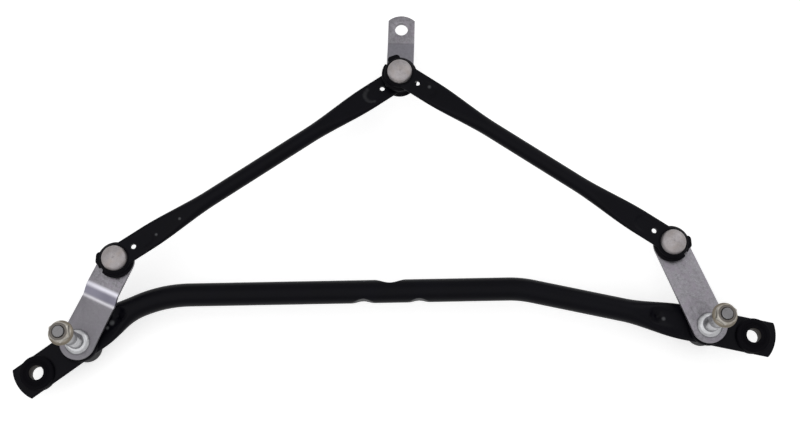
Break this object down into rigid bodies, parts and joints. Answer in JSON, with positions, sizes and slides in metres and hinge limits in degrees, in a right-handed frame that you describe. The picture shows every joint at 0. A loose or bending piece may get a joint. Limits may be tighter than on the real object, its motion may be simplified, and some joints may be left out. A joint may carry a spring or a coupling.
{
  "type": "wiper linkage",
  "caption": "Wiper linkage: bent tube frame with rubber-bushed ends, spindles with levers, and ball-jointed rods meeting at a stepped motor crank.",
  "frame": {"origin": "midway between the mounting holes, at mid thickness of the flattened tube ends", "axes": "+X through both mounting holes, +Z along the spindles towards the wiper arms"},
  "size_m": [0.5509, 0.2813, 0.0864],
  "materials": {
    "black_paint": "satin black paint",
    "black_cast": "satin black paint on turned metal",
    "rubber": "matte",
    "black_nylon": "moulded, slightly glossy",
    "zinc_plate": "dull zinc plate",
    "zinc_steel": "zinc plate",
    "turned_steel": "turned and zinc plated",
    "yellow_zinc": "pale yellow zinc plate",
    "pressed_cap": "bright pressed steel",
    "bronze": "sintered bearing bronze"
  },
  "bodies": {
    "frame": {"frame_tube": "black_paint", "grommet_left": "rubber", "grommet_right": "rubber", "sleeve_left": "zinc_steel", "sleeve_right": "zinc_steel", "housing_left": "black_cast", "housing_right": "black_cast", "collar_left": "black_cast", "collar_right": "black_cast", "bush_left": "bronze", "bush_right": "bronze", "washer_left": "zinc_steel", "washer_right": "zinc_steel"},
    "left_lever": {"lever_left": "zinc_plate", "spindle_left": "turned_steel", "retainer_left": "zinc_steel", "arm_nut_left": "yellow_zinc", "ball_stud_left": "turned_steel"},
    "right_lever": {"lever_right": "zinc_plate", "spindle_right": "turned_steel", "retainer_right": "zinc_steel", "arm_nut_right": "yellow_zinc", "ball_stud_right": "turned_steel"},
    "left_rod": {"rod_left": "black_paint", "socket_left_outer": "black_nylon", "socket_left_inner": "black_nylon", "cap_left_outer": "pressed_cap"},
    "right_rod": {"rod_right": "black_paint", "socket_right_outer": "black_nylon", "socket_right_inner": "black_nylon", "cap_right_outer": "pressed_cap", "cap_right_inner": "pressed_cap"},
    "crank": {"crank": "zinc_plate", "crank_pin": "turned_steel"}
  },
  "joints": [
    {"name": "left_lever_turn", "type": "hinge", "parent": "frame", "child": "left_lever", "pos_m": [-0.22781, 0.01998, 0], "axis": [0, 0, 1], "range_deg": [-12, 12]},
    {"name": "right_lever_turn", "type": "hinge", "parent": "frame", "child": "right_lever", "pos_m": [0.226, 0.00846, 0], "axis": [0, 0, 1], "range_deg": [-12.05, 12.05]},
    {"name": "left_rod_turn", "type": "hinge", "parent": "left_lever", "child": "left_rod", "pos_m": [-0.19836, 0.0768, 0.0212], "axis": [0, 0, 1], "range_deg": [-13.47, 13.47]},
    {"name": "right_rod_turn", "type": "hinge", "parent": "right_lever", "child": "right_rod", "pos_m": [0.20432, 0.06867, 0.0162], "axis": [0, 0, 1], "range_deg": [-13.69, 13.69]},
    {"name": "crank_turn", "type": "hinge", "parent": "right_rod", "child": "crank", "pos_m": [0.0134, 0.2065, 0.0254], "axis": [0, 0, 1], "range_deg": [-9.3, 9.3]}
  ],
  "couplings": [
    {"joint": "right_lever_turn", "follows": "left_lever_turn", "ratio": 1},
    {"joint": "left_rod_turn", "follows": "left_lever_turn", "ratio": -1.1186},
    {"joint": "right_rod_turn", "follows": "left_lever_turn", "ratio": -1.1363},
    {"joint": "crank_turn", "follows": "left_lever_turn", "ratio": -0.7712}
  ]
}
